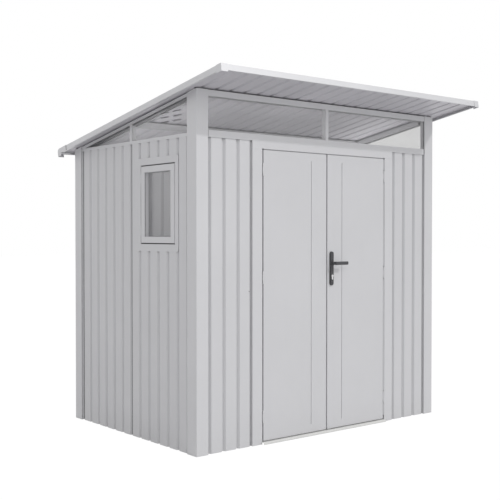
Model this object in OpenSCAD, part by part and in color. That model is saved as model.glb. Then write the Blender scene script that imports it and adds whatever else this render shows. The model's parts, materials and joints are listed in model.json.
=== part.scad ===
// Ribbed steel garden shed with a pent roof, glazed gables and outward double doors.
// Millimetres, front towards -Y, +Z up, origin on the ground under the middle of the roof.

/* [Shed] */
// width over the corner posts
shed_w = 1950; // [1750:1:2300]
// depth over the corner posts
shed_d = 1360; // [1200:1:1700]
// height of the front posts at their front face
front_h = 1991; // [1800:1:2200]
// slope of the roof, in degrees
roof_pitch = 9.8; // [9:0.1:11]

/* [Walls] */
// thickness of the ribbed wall and roof sheet
sheet_t = 0.8; // [0.5:0.1:1.5]
// thickness of the folded posts, rails and trims
fold_t = 1.2; // [0.8:0.1:1.6]
// wanted distance from one groove to the next
groove_pitch = 98; // [85:1:120]
// width of a groove at the wall face
groove_w = 28; // [22:1:34]
// width of the bottom of a groove
groove_base = 6; // [6:1:14]
// depth of a wall groove
groove_deep = 14; // [6:1:15]
// set-back of the wall face behind the post face
wall_set = 8; // [7:0.5:14]
// first groove of the front or rear wall from the edge of a post
groove_start = 12.5; // [10:0.5:24]
// last groove of a front panel from the edge of the jamb or post
groove_stop = 3.5; // [0:0.5:8]
// first groove of a side wall from the edge of the front post
side_start = 2.8; // [0:0.1:14]
// last groove of a side wall from the edge of the rear post
side_stop = 11; // [8:0.5:14]
// length of sheet tucked behind a post or jamb
tuck = 20; // [18:1:28]

/* [Posts and rails] */
// width of a post on the front or rear face
post_w = 78.6; // [60:0.2:95]
// width of a front post on the side wall
post_side_front = 89; // [70:1:110]
// width of a rear post on the side wall
post_side_rear = 79; // [60:1:95]
// set-back of the front rails behind the post face
rail_set = 4; // [2:0.5:4.5]
// depth of the rails from outside to inside
rail_deep = 36; // [34:1:45]
// height of the inner flange of the rails
rail_inner = 30; // [20:1:36]
// height of the outer flange of the side and rear top rails
side_rail_h = 19; // [14:1:26]
// drop of the side top rails under the roof line at the edge of the rear posts
side_drop = 11.1; // [8:0.1:14]
// height of the outer flange of the gable rails
gable_rail_h = 18; // [12:1:24]
// height of the upright of the base rails
base_rail_h = 40; // [25:1:60]
// width of the foot of the base rails
base_rail_foot = 36; // [25:1:60]
// height of the roof purlin
purlin_h = 28; // [20:1:32]
// width of the roof purlin along the slope
purlin_w = 40; // [30:1:60]

/* [Front glazing] */
// drop of the rail under the front glazing, from the tops of the front posts
glazing_drop = 218.5; // [200:0.5:225]
// height of the rail under the front glazing
transom_h = 37.5; // [30:0.5:45]
// height of the front flange of the front top rail
front_rail_h = 34; // [26:1:42]
// width of the glazing bars
bar_w = 25; // [18:1:36]
// depth of the glazing bars
bar_deep = 30; // [20:1:33]
// thickness of the glazing sheets
pane_t = 3; // [2:0.5:4]
// overlap of a pane behind a rail
pane_tuck = 10; // [6:1:14]

/* [Vents] */
// length of a vent slot
vent_w = 80; // [50:1:90]
// clear height of a vent slot
vent_h = 7; // [5:0.5:9]
// distance from one vent row to the next
vent_pitch = 26.5; // [20:0.5:30]
// gap between the two columns of vents
vent_gap = 42; // [24:1:50]
// distance of the first vent from the front post
vent_from_post = 70; // [30:1:80]
// bottom of the lowest vent above the side top rail
vent_up = 76; // [60:1:84]
// how far a vent hood stands out of the pane
vent_hood = 6; // [4:0.5:7]

/* [Doors] */
// width of the door opening between the jambs
door_opening = 1022; // [860:2:1120]
// height of the strip between the front glazing rail and the door opening
header_h = 41; // [24:1:64]
// width of a jamb on the front
jamb_w = 72; // [50:1:90]
// thickness of a door leaf
leaf_t = 28; // [24:1:34]
// set-back of the leaf face behind the post face
leaf_set = 6; // [5:0.5:10]
// gap at the hinge edge of a leaf
hinge_gap = 11; // [10:0.5:14]
// gap between the two leaves
meet_gap = 10; // [8:0.5:14]
// gap over a leaf
leaf_top_gap = 7; // [6:0.5:12]
// gap under a leaf
leaf_foot_gap = 6; // [5.5:0.5:12]
// width of the rear lip all round a leaf
leaf_lip = 24; // [12:1:40]
// distance of the pressed line from the meeting edge of a leaf
crease_in = 123; // [80:1:200]
// width of the pressed line
crease_w = 5; // [3:0.5:8]
// depth of the pressed line
crease_deep = 3; // [2:0.5:5]
// distance of the pressed line from the top and foot of a leaf
crease_end = 46; // [30:1:90]
// gap between a closed leaf and its stop
stop_gap = 6; // [5.5:0.5:10]
// width of the door stop
stop_w = 14; // [8:1:24]
// height of the threshold
sill_h = 14; // [8:1:20]
// how far the threshold stands out of the post face
sill_out = 14; // [6:1:24]

/* [Hinges] */
// radius of the hinge pin
pin_r = 2.6; // [2:0.1:3]
// running clearance of the pin, on the radius
pin_play = 0.05; // [0.02:0.01:0.1]
// radius of a hinge knuckle
knuckle_r = 4; // [3.6:0.1:4.4]
// height of a whole hinge
hinge_h = 72; // [54:1:90]
// height of the leaf knuckle
hinge_mid = 30; // [20:1:40]
// end play between knuckles
hinge_play = 0.5; // [0.3:0.1:1]
// thickness of the hinge straps
strap_t = 2; // [1.5:0.1:2.2]
// depth of the hinge straps along the edge
strap_deep = 22; // [14:1:24]
// height of the middle of the low hinge
hinge_low = 158; // [120:1:240]
// distance of the middle of the high hinge from the top of the door opening
hinge_drop = 119; // [90:1:160]
// distance from the middle hinge to the high hinge
hinge_space = 617; // [500:1:700]

/* [Handle] */
// width of the handle plate
plate_w = 26; // [22:1:32]
// height of the handle plate
plate_h = 206; // [170:1:230]
// depth of the handle plate
plate_t = 12; // [8:1:14]
// distance of the plate from the meeting edge
plate_in = 18; // [14:1:40]
// height of the lower end of the plate
plate_z = 894; // [850:1:930]
// height of the lever above the lower end of the plate
lever_up = 135; // [110:1:150]
// length of the lever from its axis
lever_len = 96; // [80:1:115]
// height of the lever grip
lever_h = 21; // [16:1:24]
// depth of the lever grip
lever_t = 11; // [8:1:14]
// clear gap behind the lever grip
finger_gap = 34; // [28:1:42]
// radius of the lever neck
neck_r = 9; // [7:0.5:10]
// radius of the lever spindle
spindle_r = 5; // [4:0.5:6]
// clear space round the spindle in the leaf
spindle_gap = 3; // [1:0.5:4]
// height of the key cylinder above the lower end of the plate
key_up = 58; // [50:1:66]
// radius of the key cylinder
key_r = 7.5; // [7:0.5:9]
// width of the lower part of the key cylinder
key_w = 8.5; // [8:0.5:12]
// height of the lower part of the key cylinder
key_drop = 23; // [20:1:26]
// how far the key cylinder stands out of the plate
key_out = 3; // [1:0.5:5]

/* [Window] */
// distance of the window sash behind the shed front
sash_y = 221; // [200:1:260]
// width of the window sash
sash_w = 342; // [280:1:370]
// distance of the top of the window sash from the top of the side rail
sash_drop = 158.6; // [110:0.1:300]
// height of the window sash
sash_h = 445; // [380:1:470]
// width of the sash frame
sash_frame = 36; // [26:1:44]
// depth of the sash frame
sash_deep = 31; // [20:1:34]
// gap round the sash
sash_gap = 7; // [5:0.5:9]
// width of the flat surround beside the sash
surround_side = 38; // [28:1:44]
// height of the flat surround over and under the sash
surround_end = 48; // [30:1:60]
// corner radius of the surround
surround_r = 12; // [4:1:24]
// width of the stop behind the sash
sash_stop = 14; // [10:1:20]
// overlap of the window glass behind the sash frame
glass_lap = 9; // [5:1:16]
// height of a window hinge
sash_hinge_h = 54; // [40:1:70]
// distance of a window hinge from the end of the sash
sash_hinge_in = 72; // [45:1:100]
// radius of a window hinge
sash_hinge_r = 3; // [2:0.5:3.4]
// thickness of the straps of a window hinge
sash_strap = 1.5; // [1:0.1:2]
// depth of the straps of a window hinge
sash_strap_deep = 14; // [8:1:20]

/* [Roof] */
// overhang of the roof at the front
front_over = 318; // [200:1:400]
// overhang of the roof at the rear
rear_over = 97; // [60:1:160]
// overhang of the roof at the sides
side_over = 73; // [55:1:120]
// clear height between the tops of the rails and the flats of the roof sheet
roof_gap = 8; // [6:0.5:14]
// height of a roof rib
rib_deep = 12.6; // [8:0.1:16]
// least distance of the outer ribs from the sides of the roof
rib_edge = 115; // [90:1:140]
// height of the roof trims
trim_h = 32.5; // [26:0.5:42]
// width of the trim top
trim_top = 34; // [24:1:44]
// width of the lip under the trims
trim_lip = 12; // [6:1:20]
// length of a corner cap along each trim
cap_len = 42; // [30:1:70]
// how far the front corner caps hang below the trim
cap_front_drop = 8; // [2:1:16]
// how far the rear corner caps hang below the trim
cap_rear_drop = 18; // [4:1:30]
// length of the arm of a rear corner cap along the side trim
cap_arm = 115; // [80:1:160]
// width of the leg of a rear corner cap
cap_leg = 43; // [30:1:60]
// radius of the round top of the rear corner caps
cap_r = 24; // [12:1:24]
// set-back of the roof sheets inside the rear trim
sheet_end = 21; // [20:1:26]

/* [Hidden] */
$fn = 48;
// fitting gap between pieces that are fixed together
seam = 0.2;
// clear space under the wall sheets
foot = 0.2;
// gap over the wall sheets inside a rail
head = 2;
slope = tan(roof_pitch);
slope_cos = cos(roof_pitch);
slope_sin = sin(roof_pitch);
reach = 4000;
post_lip = wall_set - 2 * seam;
// outer face of the top rails on the ribbed walls
rail_face = wall_set - fold_t - seam;
sheet_back = wall_set + groove_deep + sheet_t;
// side wall grooves
side_first = post_side_front + side_start;
side_last = shed_d - post_side_rear - side_stop;
side_half = round((side_last - side_first) / groove_pitch / 2);
side_step = (side_last - side_first) / (2 * side_half);
side_seam = side_first + side_half * side_step;
// heights
side_rail_z = rail_z(shed_d - post_side_rear) - side_drop;
transom_z = front_h - glazing_drop;
door_top = transom_z - transom_h - header_h;
// door opening and jambs
door_x0 = (shed_w - door_opening) / 2;
door_x1 = shed_w - door_x0;
jamb_x0 = door_x0 - jamb_w;
jamb_x1 = shed_w - jamb_x0;
// front panel grooves
front_run = jamb_x0 - post_w - groove_start - groove_stop;
front_n = max(1, round(front_run / groove_pitch));
front_step = front_run / front_n;
// rear wall grooves
rear_first = post_w + groove_start;
rear_last = shed_w - post_w - groove_start;
rear_third = max(1, round((rear_last - rear_first) / groove_pitch / 3));
rear_step = (rear_last - rear_first) / (3 * rear_third);
// upper edges of the wall sheets
side_sheet_z = side_rail_z - fold_t - head;
front_sheet_z = transom_z - fold_t - head;
rear_rail_y = shed_d - rail_face;
rear_sheet_z = rail_z(rear_rail_y) - 2 * fold_t - head;
// door leaves
leaf_z0 = sill_h + leaf_foot_gap;
leaf_z1 = door_top - leaf_top_gap;
leaf_w = door_opening / 2 - hinge_gap - meet_gap / 2;
leaf_back = leaf_set + leaf_t;
stop_y = leaf_back + stop_gap;
axis_x = door_x0 + hinge_gap / 2;
hinge_high = door_top - hinge_drop;
hinge_z = [hinge_low, hinge_high - hinge_space, hinge_high];
hinge_end = (hinge_h - hinge_mid) / 2 - hinge_play;
// handle
lever_x = shed_w / 2 + meet_gap / 2 + plate_in + plate_w / 2;
lever_z = plate_z + lever_up;
plate_y = leaf_set - plate_t;
grip_y = plate_y - finger_gap - lever_t;
// window
sash_z = side_rail_z - sash_drop - sash_h;
hole_y = sash_y - sash_gap;
hole_w = sash_w + 2 * sash_gap;
hole_z = sash_z - sash_gap;
hole_h = sash_h + 2 * sash_gap;
sash_x = rail_face - fold_t;
glass_x = sash_x + sash_deep;
stop_x = glass_x + pane_t + sash_gap;
// glazing
side_bar_y = side_seam;
side_bar_x = rail_face + fold_t + seam;
pane_x = side_bar_x;
front_bar_x = shed_w / 2;
pane_y = rail_set + fold_t + seam;
front_rail_z = front_h - front_rail_h;
// roof
roof_base = roof_gap + seam;
roof_top = roof_base + sheet_t;
trim_z1 = roof_top + rib_deep + seam + fold_t;
trim_z0 = trim_z1 - trim_h;
trim_x0 = -side_over;
trim_x1 = shed_w + side_over;
trim_y0 = -front_over / slope_cos;
trim_y1 = (shed_d + rear_over) / slope_cos;
sheet_in = fold_t + seam;
roof_x0 = trim_x0 + sheet_in;
roof_x1 = trim_x1 - sheet_in;
roof_y0 = trim_y0 + sheet_in;
roof_y1 = trim_y1 - sheet_end;
roof_n = floor((trim_x1 - trim_x0 - 2 * rib_edge) / groove_pitch);
roof_third = round(roof_n / 3);
roof_first = (trim_x0 + trim_x1 - roof_n * groove_pitch) / 2;
cap_z1 = trim_z1 + seam + fold_t;
purlin_y = side_bar_y / slope_cos;
// middle of the outline in plan
out_t = fold_t + seam;
low_y = -front_over - out_t * slope_cos + (trim_z0 - cap_front_drop) * slope_sin;
high_y = (trim_y1 + out_t - cap_r) * slope_cos + (cap_z1 - cap_r) * slope_sin + cap_r;
mid_x = shed_w / 2;
mid_y = (low_y + high_y) / 2;
// colours
wall_grey = [0.78, 0.79, 0.80];
trim_grey = [0.84, 0.85, 0.86];
pane_clear = [0.75, 0.8, 0.83, 0.35];
handle_grey = [0.2, 0.2, 0.21];
sill_grey = [0.8, 0.8, 0.78];
key_silver = [0.8, 0.8, 0.8];

// height of the underside of the roof over a place y behind the post face
function rail_z(y) = front_h - y * slope;

// one groove about the place c
function groove(c, deep) = [
  [c - groove_w / 2, 0],
  [c - groove_base / 2, deep],
  [c + groove_base / 2, deep],
  [c + groove_w / 2, 0]
];

// outer line of a ribbed sheet from a to b; a seam ends it in the bottom of a groove
function sheet_line(a, a_seam, places, b, b_seam, deep) = concat(
  a_seam ? [[a + seam, deep], [a + groove_base / 2, deep], [a + groove_w / 2, 0]] : [[a, 0]],
  [for (c = places) each groove(c, deep)],
  b_seam ? [[b - groove_w / 2, 0], [b - groove_base / 2, deep], [b - seam, deep]] : [[b, 0]]
);

// closed outline of a sheet: the line, and the line again one thickness further in
function sheet_shape(line) = concat(
  line,
  [for (i = [len(line) - 1:-1:0]) [line[i][0], line[i][1] + sheet_t]]
);

// places of the grooves from number a to number b
function places(first, step, a, b) = [for (i = [a:1:b]) first + i * step];

// from the corner of the shed to the middle of the roof
module stand() {
  translate([-mid_x, -mid_y, 0])
    children();
}

// on the sloping underside of the roof
module on_slope() {
  translate([0, 0, front_h])
    rotate([-roof_pitch, 0, 0])
      children();
}

// everything under the roof
module under_roof() {
  difference() {
    children();
    on_slope()
      translate([-reach / 2, -reach / 2, 0])
        cube([2 * reach, 2 * reach, reach]);
  }
}

// mirror image on the other side of the shed
module other_side() {
  translate([shed_w, 0, 0])
    mirror([1, 0, 0])
      children();
}

// a section drawn in x and height, pushed from y0 to y1
module along_y(y0, y1) {
  translate([0, y1, 0])
    rotate([90, 0, 0])
      linear_extrude(y1 - y0)
        children();
}

// a section drawn in depth and height, pushed from x0 to x1
module along_x(x0, x1) {
  translate([x0, 0, 0])
    rotate([90, 0, 90])
      linear_extrude(x1 - x0)
        children();
}

// inverted channel from a to b with two flange heights, top at zero
module channel(a, b, flange_a, flange_b) {
  polygon([
    [a, 0],
    [b, 0],
    [b, -flange_b],
    [b - fold_t, -flange_b],
    [b - fold_t, -fold_t],
    [a + fold_t, -fold_t],
    [a + fold_t, -flange_a],
    [a, -flange_a]
  ]);
}

// channel with an upstand at the place lip that carries the roof sheet
module roof_channel(a, b, flange_a, flange_b, lip) {
  polygon([
    [a, 0],
    [lip, 0],
    [lip, roof_gap],
    [lip + fold_t, roof_gap],
    [lip + fold_t, 0],
    [b, 0],
    [b, -flange_b],
    [b - fold_t, -flange_b],
    [b - fold_t, -fold_t],
    [a + fold_t, -fold_t],
    [a + fold_t, -flange_a],
    [a, -flange_a]
  ]);
}

// folded corner post with a lip on both edges, outer corner at the origin
module post_shape(side) {
  polygon([
    [0, 0],
    [post_w, 0],
    [post_w, post_lip],
    [post_w - fold_t, post_lip],
    [post_w - fold_t, fold_t],
    [fold_t, fold_t],
    [fold_t, side - fold_t],
    [post_lip, side - fold_t],
    [post_lip, side],
    [0, side]
  ]);
}

module front_post() {
  under_roof()
    linear_extrude(front_h + reach * slope_sin)
      post_shape(post_side_front);
}

module rear_post() {
  under_roof()
    translate([0, shed_d, 0])
      mirror([0, 1, 0])
        linear_extrude(front_h)
          post_shape(post_side_rear);
}

module front_left_post() {
  stand() color(trim_grey)
    front_post();
}

module front_right_post() {
  stand() color(trim_grey)
    other_side()
      front_post();
}

module rear_left_post() {
  stand() color(trim_grey)
    rear_post();
}

module rear_right_post() {
  stand() color(trim_grey)
    other_side()
      rear_post();
}

// angle with its upright behind the sheet and its foot inwards
module base_angle(length) {
  along_y(0, length)
    polygon([
      [0, 0],
      [base_rail_foot, 0],
      [base_rail_foot, fold_t],
      [fold_t, fold_t],
      [fold_t, base_rail_h],
      [0, base_rail_h]
    ]);
}

module base_rails() {
  inset = sheet_back + seam;
  corner = inset + base_rail_foot + seam;
  stand() color(trim_grey) {
    translate([inset, corner, 0])
      base_angle(shed_d - 2 * corner);
    other_side()
      translate([inset, corner, 0])
        base_angle(shed_d - 2 * corner);
    translate([inset, shed_d - inset, 0])
      rotate(-90)
        base_angle(shed_w - 2 * inset);
    translate([jamb_x0 + tuck, inset, 0])
      rotate(90)
        base_angle(jamb_x0 + tuck - inset);
    translate([shed_w - inset, inset, 0])
      rotate(90)
        base_angle(jamb_x0 + tuck - inset);
  }
}

module front_panel(x0) {
  x1 = x0 + groove_start + front_run + groove_stop;
  grooves = places(x0 + groove_start, front_step, 0, front_n);
  line = sheet_line(x0 - tuck, false, grooves, x1 + tuck, false, groove_deep);
  stand() color(wall_grey)
    translate([0, wall_set, foot])
      linear_extrude(front_sheet_z - foot)
        polygon(sheet_shape(line));
}

module front_left_panel() {
  front_panel(post_w);
}

module front_right_panel() {
  front_panel(jamb_x1);
}

// ribbed sheet on the left wall, drawn along the wall
module side_sheet(line) {
  translate([wall_set, 0, foot])
    linear_extrude(side_sheet_z - foot)
      polygon([for (p = sheet_shape(line)) [p[1], p[0]]]);
}

module side_front_sheet() {
  grooves = places(side_first, side_step, 0, side_half - 1);
  side_sheet(sheet_line(side_first - tuck, false, grooves, side_seam, true, groove_deep));
}

module side_rear_sheet() {
  grooves = places(side_first, side_step, side_half + 1, 2 * side_half);
  side_sheet(sheet_line(side_seam, true, grooves, side_last + groove_w / 2 + tuck, false, groove_deep));
}

module left_window_panel() {
  cut = fold_t + seam;
  stand() color(wall_grey)
    difference() {
      side_front_sheet();
      translate([0, hole_y - cut, hole_z - cut])
        cube([sheet_back + wall_set, hole_w + 2 * cut, hole_h + 2 * cut]);
    }
}

module left_rear_panel() {
  stand() color(wall_grey)
    side_rear_sheet();
}

module right_front_panel() {
  stand() color(wall_grey)
    other_side()
      side_front_sheet();
}

module right_rear_panel() {
  stand() color(wall_grey)
    other_side()
      side_rear_sheet();
}

module back_sheet(a, a_seam, from, to, b, b_seam) {
  line = sheet_line(a, a_seam, places(rear_first, rear_step, from, to), b, b_seam, groove_deep);
  stand() color(wall_grey)
    translate([0, shed_d - wall_set, foot])
      linear_extrude(rear_sheet_z - foot)
        polygon([for (p = sheet_shape(line)) [p[0], -p[1]]]);
}

module back_left_panel() {
  seam_x = rear_first + rear_third * rear_step;
  back_sheet(post_w - tuck, false, 0, rear_third - 1, seam_x, true);
}

module back_middle_panel() {
  seam_a = rear_first + rear_third * rear_step;
  seam_b = rear_first + 2 * rear_third * rear_step;
  back_sheet(seam_a, true, rear_third + 1, 2 * rear_third - 1, seam_b, true);
}

module back_right_panel() {
  seam_x = rear_first + 2 * rear_third * rear_step;
  back_sheet(seam_x, true, 2 * rear_third + 1, 3 * rear_third, shed_w - post_w + tuck, false);
}

// folded jamb: front strip, reveal and door stop
module jamb() {
  lip_y = wall_set - seam;
  stop_end = stop_y + fold_t;
  linear_extrude(door_top - seam)
    polygon([
      [jamb_x0, lip_y],
      [jamb_x0, rail_set],
      [door_x0, rail_set],
      [door_x0, stop_y],
      [door_x0 + stop_w, stop_y],
      [door_x0 + stop_w, stop_end],
      [door_x0 - fold_t, stop_end],
      [door_x0 - fold_t, rail_set + fold_t],
      [jamb_x0 + fold_t, rail_set + fold_t],
      [jamb_x0 + fold_t, lip_y]
    ]);
}

module left_jamb() {
  stand() color(trim_grey)
    jamb();
}

module right_jamb() {
  stand() color(trim_grey)
    other_side()
      jamb();
}

// folded header: front strip, reveal and a stop that hangs behind the leaves
module door_header() {
  top = transom_z - transom_h - seam;
  stop_end = stop_y + fold_t;
  stop_z = leaf_z1 - stop_w;
  side = door_x0 + stop_w + seam;
  stand() color(trim_grey) {
    along_x(jamb_x0, jamb_x1)
      translate([rail_set, door_top])
        square([fold_t, top - door_top]);
    along_x(door_x0 - fold_t, door_x1 + fold_t)
      translate([rail_set, door_top])
        square([stop_end - rail_set, fold_t]);
    along_x(side, shed_w - side)
      polygon([
        [stop_y, door_top + fold_t],
        [stop_y, stop_z],
        [stop_end, stop_z],
        [stop_end, door_top + fold_t]
      ]);
  }
}

// hollow threshold between the jambs with a sloping nose
module threshold() {
  nose = sill_h / 2;
  back = stop_y - seam;
  stand() color(sill_grey)
    along_x(door_x0 + seam, door_x1 - seam)
      polygon([
        [-sill_out, 0],
        [-sill_out, nose],
        [-sill_out + nose, sill_h],
        [back, sill_h],
        [back, 0],
        [back - fold_t, 0],
        [back - fold_t, sill_h - fold_t],
        [-sill_out + nose, sill_h - fold_t],
        [-sill_out + fold_t, nose - fold_t],
        [-sill_out + fold_t, 0]
      ]);
}

module transom_rail() {
  stand() color(trim_grey)
    translate([0, 0, transom_z])
      along_x(post_w + seam, shed_w - post_w - seam)
        channel(rail_set, rail_set + rail_deep, transom_h, rail_inner);
}

// front top rail, its top on the roof slope, with an upstand that carries the roof sheet
module front_top_rail() {
  back = rail_set + rail_deep;
  web = fold_t / slope_cos;
  lift = roof_gap / slope_cos;
  inner_z = rail_z(back) - rail_inner;
  stand() color(trim_grey)
    along_x(post_w + seam, shed_w - post_w - seam)
      polygon([
        [rail_set, front_rail_z],
        [rail_set, rail_z(rail_set)],
        [back - fold_t, rail_z(back - fold_t)],
        [back - fold_t, rail_z(back - fold_t) + lift],
        [back, rail_z(back) + lift],
        [back, inner_z],
        [back - fold_t, inner_z],
        [back - fold_t, rail_z(back - fold_t) - web],
        [rail_set + fold_t, rail_z(rail_set + fold_t) - web],
        [rail_set + fold_t, front_rail_z]
      ]);
}

module rear_top_rail() {
  front = rear_rail_y - rail_deep;
  web = fold_t / slope_cos;
  lift = roof_gap / slope_cos;
  outer_z = rail_z(rear_rail_y) - side_rail_h;
  inner_z = rail_z(front) - rail_inner;
  stand() color(trim_grey)
    along_x(post_w + seam, shed_w - post_w - seam)
      polygon([
        [front, inner_z],
        [front, rail_z(front) + lift],
        [front + fold_t, rail_z(front + fold_t) + lift],
        [front + fold_t, rail_z(front + fold_t)],
        [rear_rail_y, rail_z(rear_rail_y)],
        [rear_rail_y, outer_z],
        [rear_rail_y - fold_t, outer_z],
        [rear_rail_y - fold_t, rail_z(rear_rail_y - fold_t) - web],
        [front + fold_t, rail_z(front + fold_t) - web],
        [front + fold_t, inner_z]
      ]);
}

module side_top_rail() {
  translate([0, 0, side_rail_z])
    along_y(post_side_front + seam, shed_d - post_side_rear - seam)
      channel(rail_face, rail_face + rail_deep, side_rail_h, rail_inner);
}

module side_top_rails() {
  stand() color(trim_grey) {
    side_top_rail();
    other_side()
      side_top_rail();
  }
}

// sloping rail over a gable, its rear end cut down to the side top rail
module gable_rail() {
  y0 = post_side_front + seam;
  y1 = shed_d - post_side_rear - seam;
  lip = rail_face + rail_deep / 2;
  intersection() {
    on_slope()
      along_y(0, shed_d / slope_cos)
        roof_channel(rail_face, rail_face + rail_deep, gable_rail_h, rail_inner, lip);
    translate([0, y0, side_rail_z + seam])
      cube([shed_w, y1 - y0, front_h]);
  }
}

module gable_rails() {
  stand() color(trim_grey) {
    gable_rail();
    other_side()
      gable_rail();
  }
}

// purlin across the middle of the roof, between the gable rails
module roof_purlin() {
  end = rail_face + rail_deep + seam;
  stand() color(trim_grey)
    on_slope()
      along_x(end, shed_w - end)
        translate([purlin_y, 0])
          roof_channel(-purlin_w / 2, purlin_w / 2, purlin_h, purlin_h, -fold_t / 2);
}

// square tube for a glazing bar, standing on z0, cut under a sloping rail
module bar(z0) {
  difference() {
    translate([0, 0, z0])
      linear_extrude(front_h - z0)
        difference() {
          square([bar_w, bar_deep]);
          translate([fold_t, fold_t])
            square([bar_w - 2 * fold_t, bar_deep - 2 * fold_t]);
        }
    children();
  }
}

// what lies over the web of a sloping rail
module over_web() {
  on_slope()
    translate([-reach / 2, -reach / 2, -fold_t - seam])
      cube([2 * reach, 2 * reach, reach]);
}

module side_bar() {
  difference() {
    translate([side_bar_x, side_bar_y + bar_w / 2, 0])
      rotate(-90)
        bar(side_rail_z + seam);
    over_web();
  }
}

module glazing_bars() {
  stand() color(trim_grey) {
    difference() {
      translate([front_bar_x - bar_w / 2, pane_y, 0])
        bar(transom_z + seam);
      over_web();
    }
    side_bar();
    other_side()
      side_bar();
  }
}

module front_panes() {
  z0 = transom_z + seam;
  z1 = front_rail_z + pane_tuck;
  gap = bar_w / 2 + seam;
  x0 = post_w + seam;
  width = front_bar_x - gap - x0;
  stand() color(pane_clear) {
    translate([x0, pane_y, z0])
      cube([width, pane_t, z1 - z0]);
    translate([front_bar_x + gap, pane_y, z0])
      cube([width, pane_t, z1 - z0]);
  }
}

// gable pane between two places along the wall
module gable_pane(y0, y1) {
  z0 = side_rail_z + seam;
  drop = (gable_rail_h - pane_tuck) / slope_cos;
  y_low = min(y1, (front_h - drop - z0) / slope - pane_tuck);
  translate([pane_x, 0, 0])
    rotate([90, 0, 90])
      linear_extrude(pane_t)
        polygon([
          [y0, z0],
          [y_low, z0],
          [y_low, rail_z(y_low) - drop],
          [y0, rail_z(y0) - drop]
        ]);
}

module gable_panes() {
  gap = bar_w / 2 + seam;
  gable_pane(post_side_front + seam, side_bar_y - gap);
  gable_pane(side_bar_y + gap, shed_d - post_side_rear - seam);
}

module vent_places() {
  for (column = [0:1])
    for (row = [0:2])
      translate([
        pane_x,
        post_side_front + vent_from_post + column * (vent_w + vent_gap),
        side_rail_z + vent_up + row * vent_pitch
      ])
        children();
}

// left panes with two columns of louvred vents in the front one
module left_gable_panes() {
  cut = seam;
  stand() color(pane_clear) {
    difference() {
      gable_panes();
      vent_places()
        translate([-cut, 0, 0])
          cube([pane_t + 2 * cut, vent_w, vent_h]);
    }
    vent_places()
      rotate([90, 0, 180])
        linear_extrude(vent_w)
          polygon([
            [0, vent_h],
            [0, vent_h + pane_t],
            [vent_hood, vent_h / 2],
            [vent_hood, vent_h / 2 - pane_t / 2]
          ]);
  }
}

module right_gable_panes() {
  stand() color(pane_clear)
    other_side()
      gable_panes();
}

// roof sheet with raised ribs between two places across the roof
module roof_sheet(a, a_seam, from, to, b, b_seam) {
  line = sheet_line(a, a_seam, places(roof_first, groove_pitch, from, to), b, b_seam, rib_deep);
  on_slope()
    along_y(roof_y0, roof_y1)
      polygon([for (p = sheet_shape(line)) [p[0], roof_base + p[1]]]);
}

module roof_panels() {
  last = roof_n - roof_third;
  seam_a = roof_first + roof_third * groove_pitch;
  seam_b = roof_first + last * groove_pitch;
  stand() color(wall_grey) {
    roof_sheet(roof_x0, false, 0, roof_third - 1, seam_a, true);
    roof_sheet(seam_a, true, roof_third + 1, last - 1, seam_b, true);
    roof_sheet(seam_b, true, last + 1, roof_n, roof_x1, false);
  }
}

// what a round top corner leaves of a square one, with the outer edge and the top given
module off_corner(edge, top, r) {
  translate([edge, top - r])
    difference() {
      translate([-fold_t, 0])
        square([r + fold_t, r + fold_t]);
      translate([r, 0])
        circle(r);
    }
}

// section of the rear trim, rounded like the caps at its ends
module rear_trim_shape() {
  r = cap_r - out_t;
  difference() {
    translate([0, trim_z0])
      square([trim_top, trim_h]);
    off_corner(0, trim_z1, r);
    difference() {
      translate([fold_t, trim_z0 + fold_t])
        square([trim_top, trim_h - 2 * fold_t]);
      off_corner(fold_t, trim_z1 - fold_t, r - fold_t);
    }
    translate([trim_lip, trim_z0 - fold_t])
      square([trim_top, 3 * fold_t]);
  }
}

// section of the front trim, outer face at zero, its top on the ribs
module front_trim_shape() {
  polygon([
    [0, trim_z0],
    [0, trim_z1],
    [trim_top, trim_z1],
    [trim_top, trim_z1 - fold_t],
    [fold_t, trim_z1 - fold_t],
    [fold_t, trim_z0 + fold_t],
    [trim_lip, trim_z0 + fold_t],
    [trim_lip, trim_z0]
  ]);
}

// section of a side trim, with a lip down to the flat of the sheet
module side_trim_shape() {
  polygon([
    [0, trim_z0],
    [0, trim_z1],
    [trim_top, trim_z1],
    [trim_top, roof_top + seam],
    [trim_top - fold_t, roof_top + seam],
    [trim_top - fold_t, trim_z1 - fold_t],
    [fold_t, trim_z1 - fold_t],
    [fold_t, trim_z0 + fold_t],
    [trim_lip, trim_z0 + fold_t],
    [trim_lip, trim_z0]
  ]);
}

module front_roof_trim() {
  stand() color(trim_grey)
    on_slope()
      along_x(trim_x0 + trim_top + seam, trim_x1 - trim_top - seam)
        translate([trim_y0, 0])
          front_trim_shape();
}

// rear trim, butted to the caps
module rear_roof_trim() {
  end = cap_len - out_t + seam;
  stand() color(trim_grey)
    on_slope()
      along_x(trim_x0 + end, trim_x1 - end)
        translate([trim_y1, 0])
          mirror([1, 0])
            rear_trim_shape();
}

// side trim, its rear end inside the arm of the cap
module side_roof_trim() {
  on_slope()
    along_y(trim_y0, trim_y1 - cap_arm / 2)
      translate([trim_x0, 0])
        side_trim_shape();
}

module side_roof_trims() {
  stand() color(trim_grey) {
    side_roof_trim();
    other_side()
      side_roof_trim();
  }
}

// cap folded round a front roof corner, corner of the trims at the origin
module front_cap() {
  low = trim_z0 - cap_front_drop;
  high = trim_z1 + seam;
  difference() {
    translate([-out_t, -out_t, low])
      cube([cap_len, cap_len, cap_z1 - low]);
    translate([-seam, -seam, low - fold_t])
      cube([cap_len + fold_t, cap_len + fold_t, high - low + fold_t]);
  }
}

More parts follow.
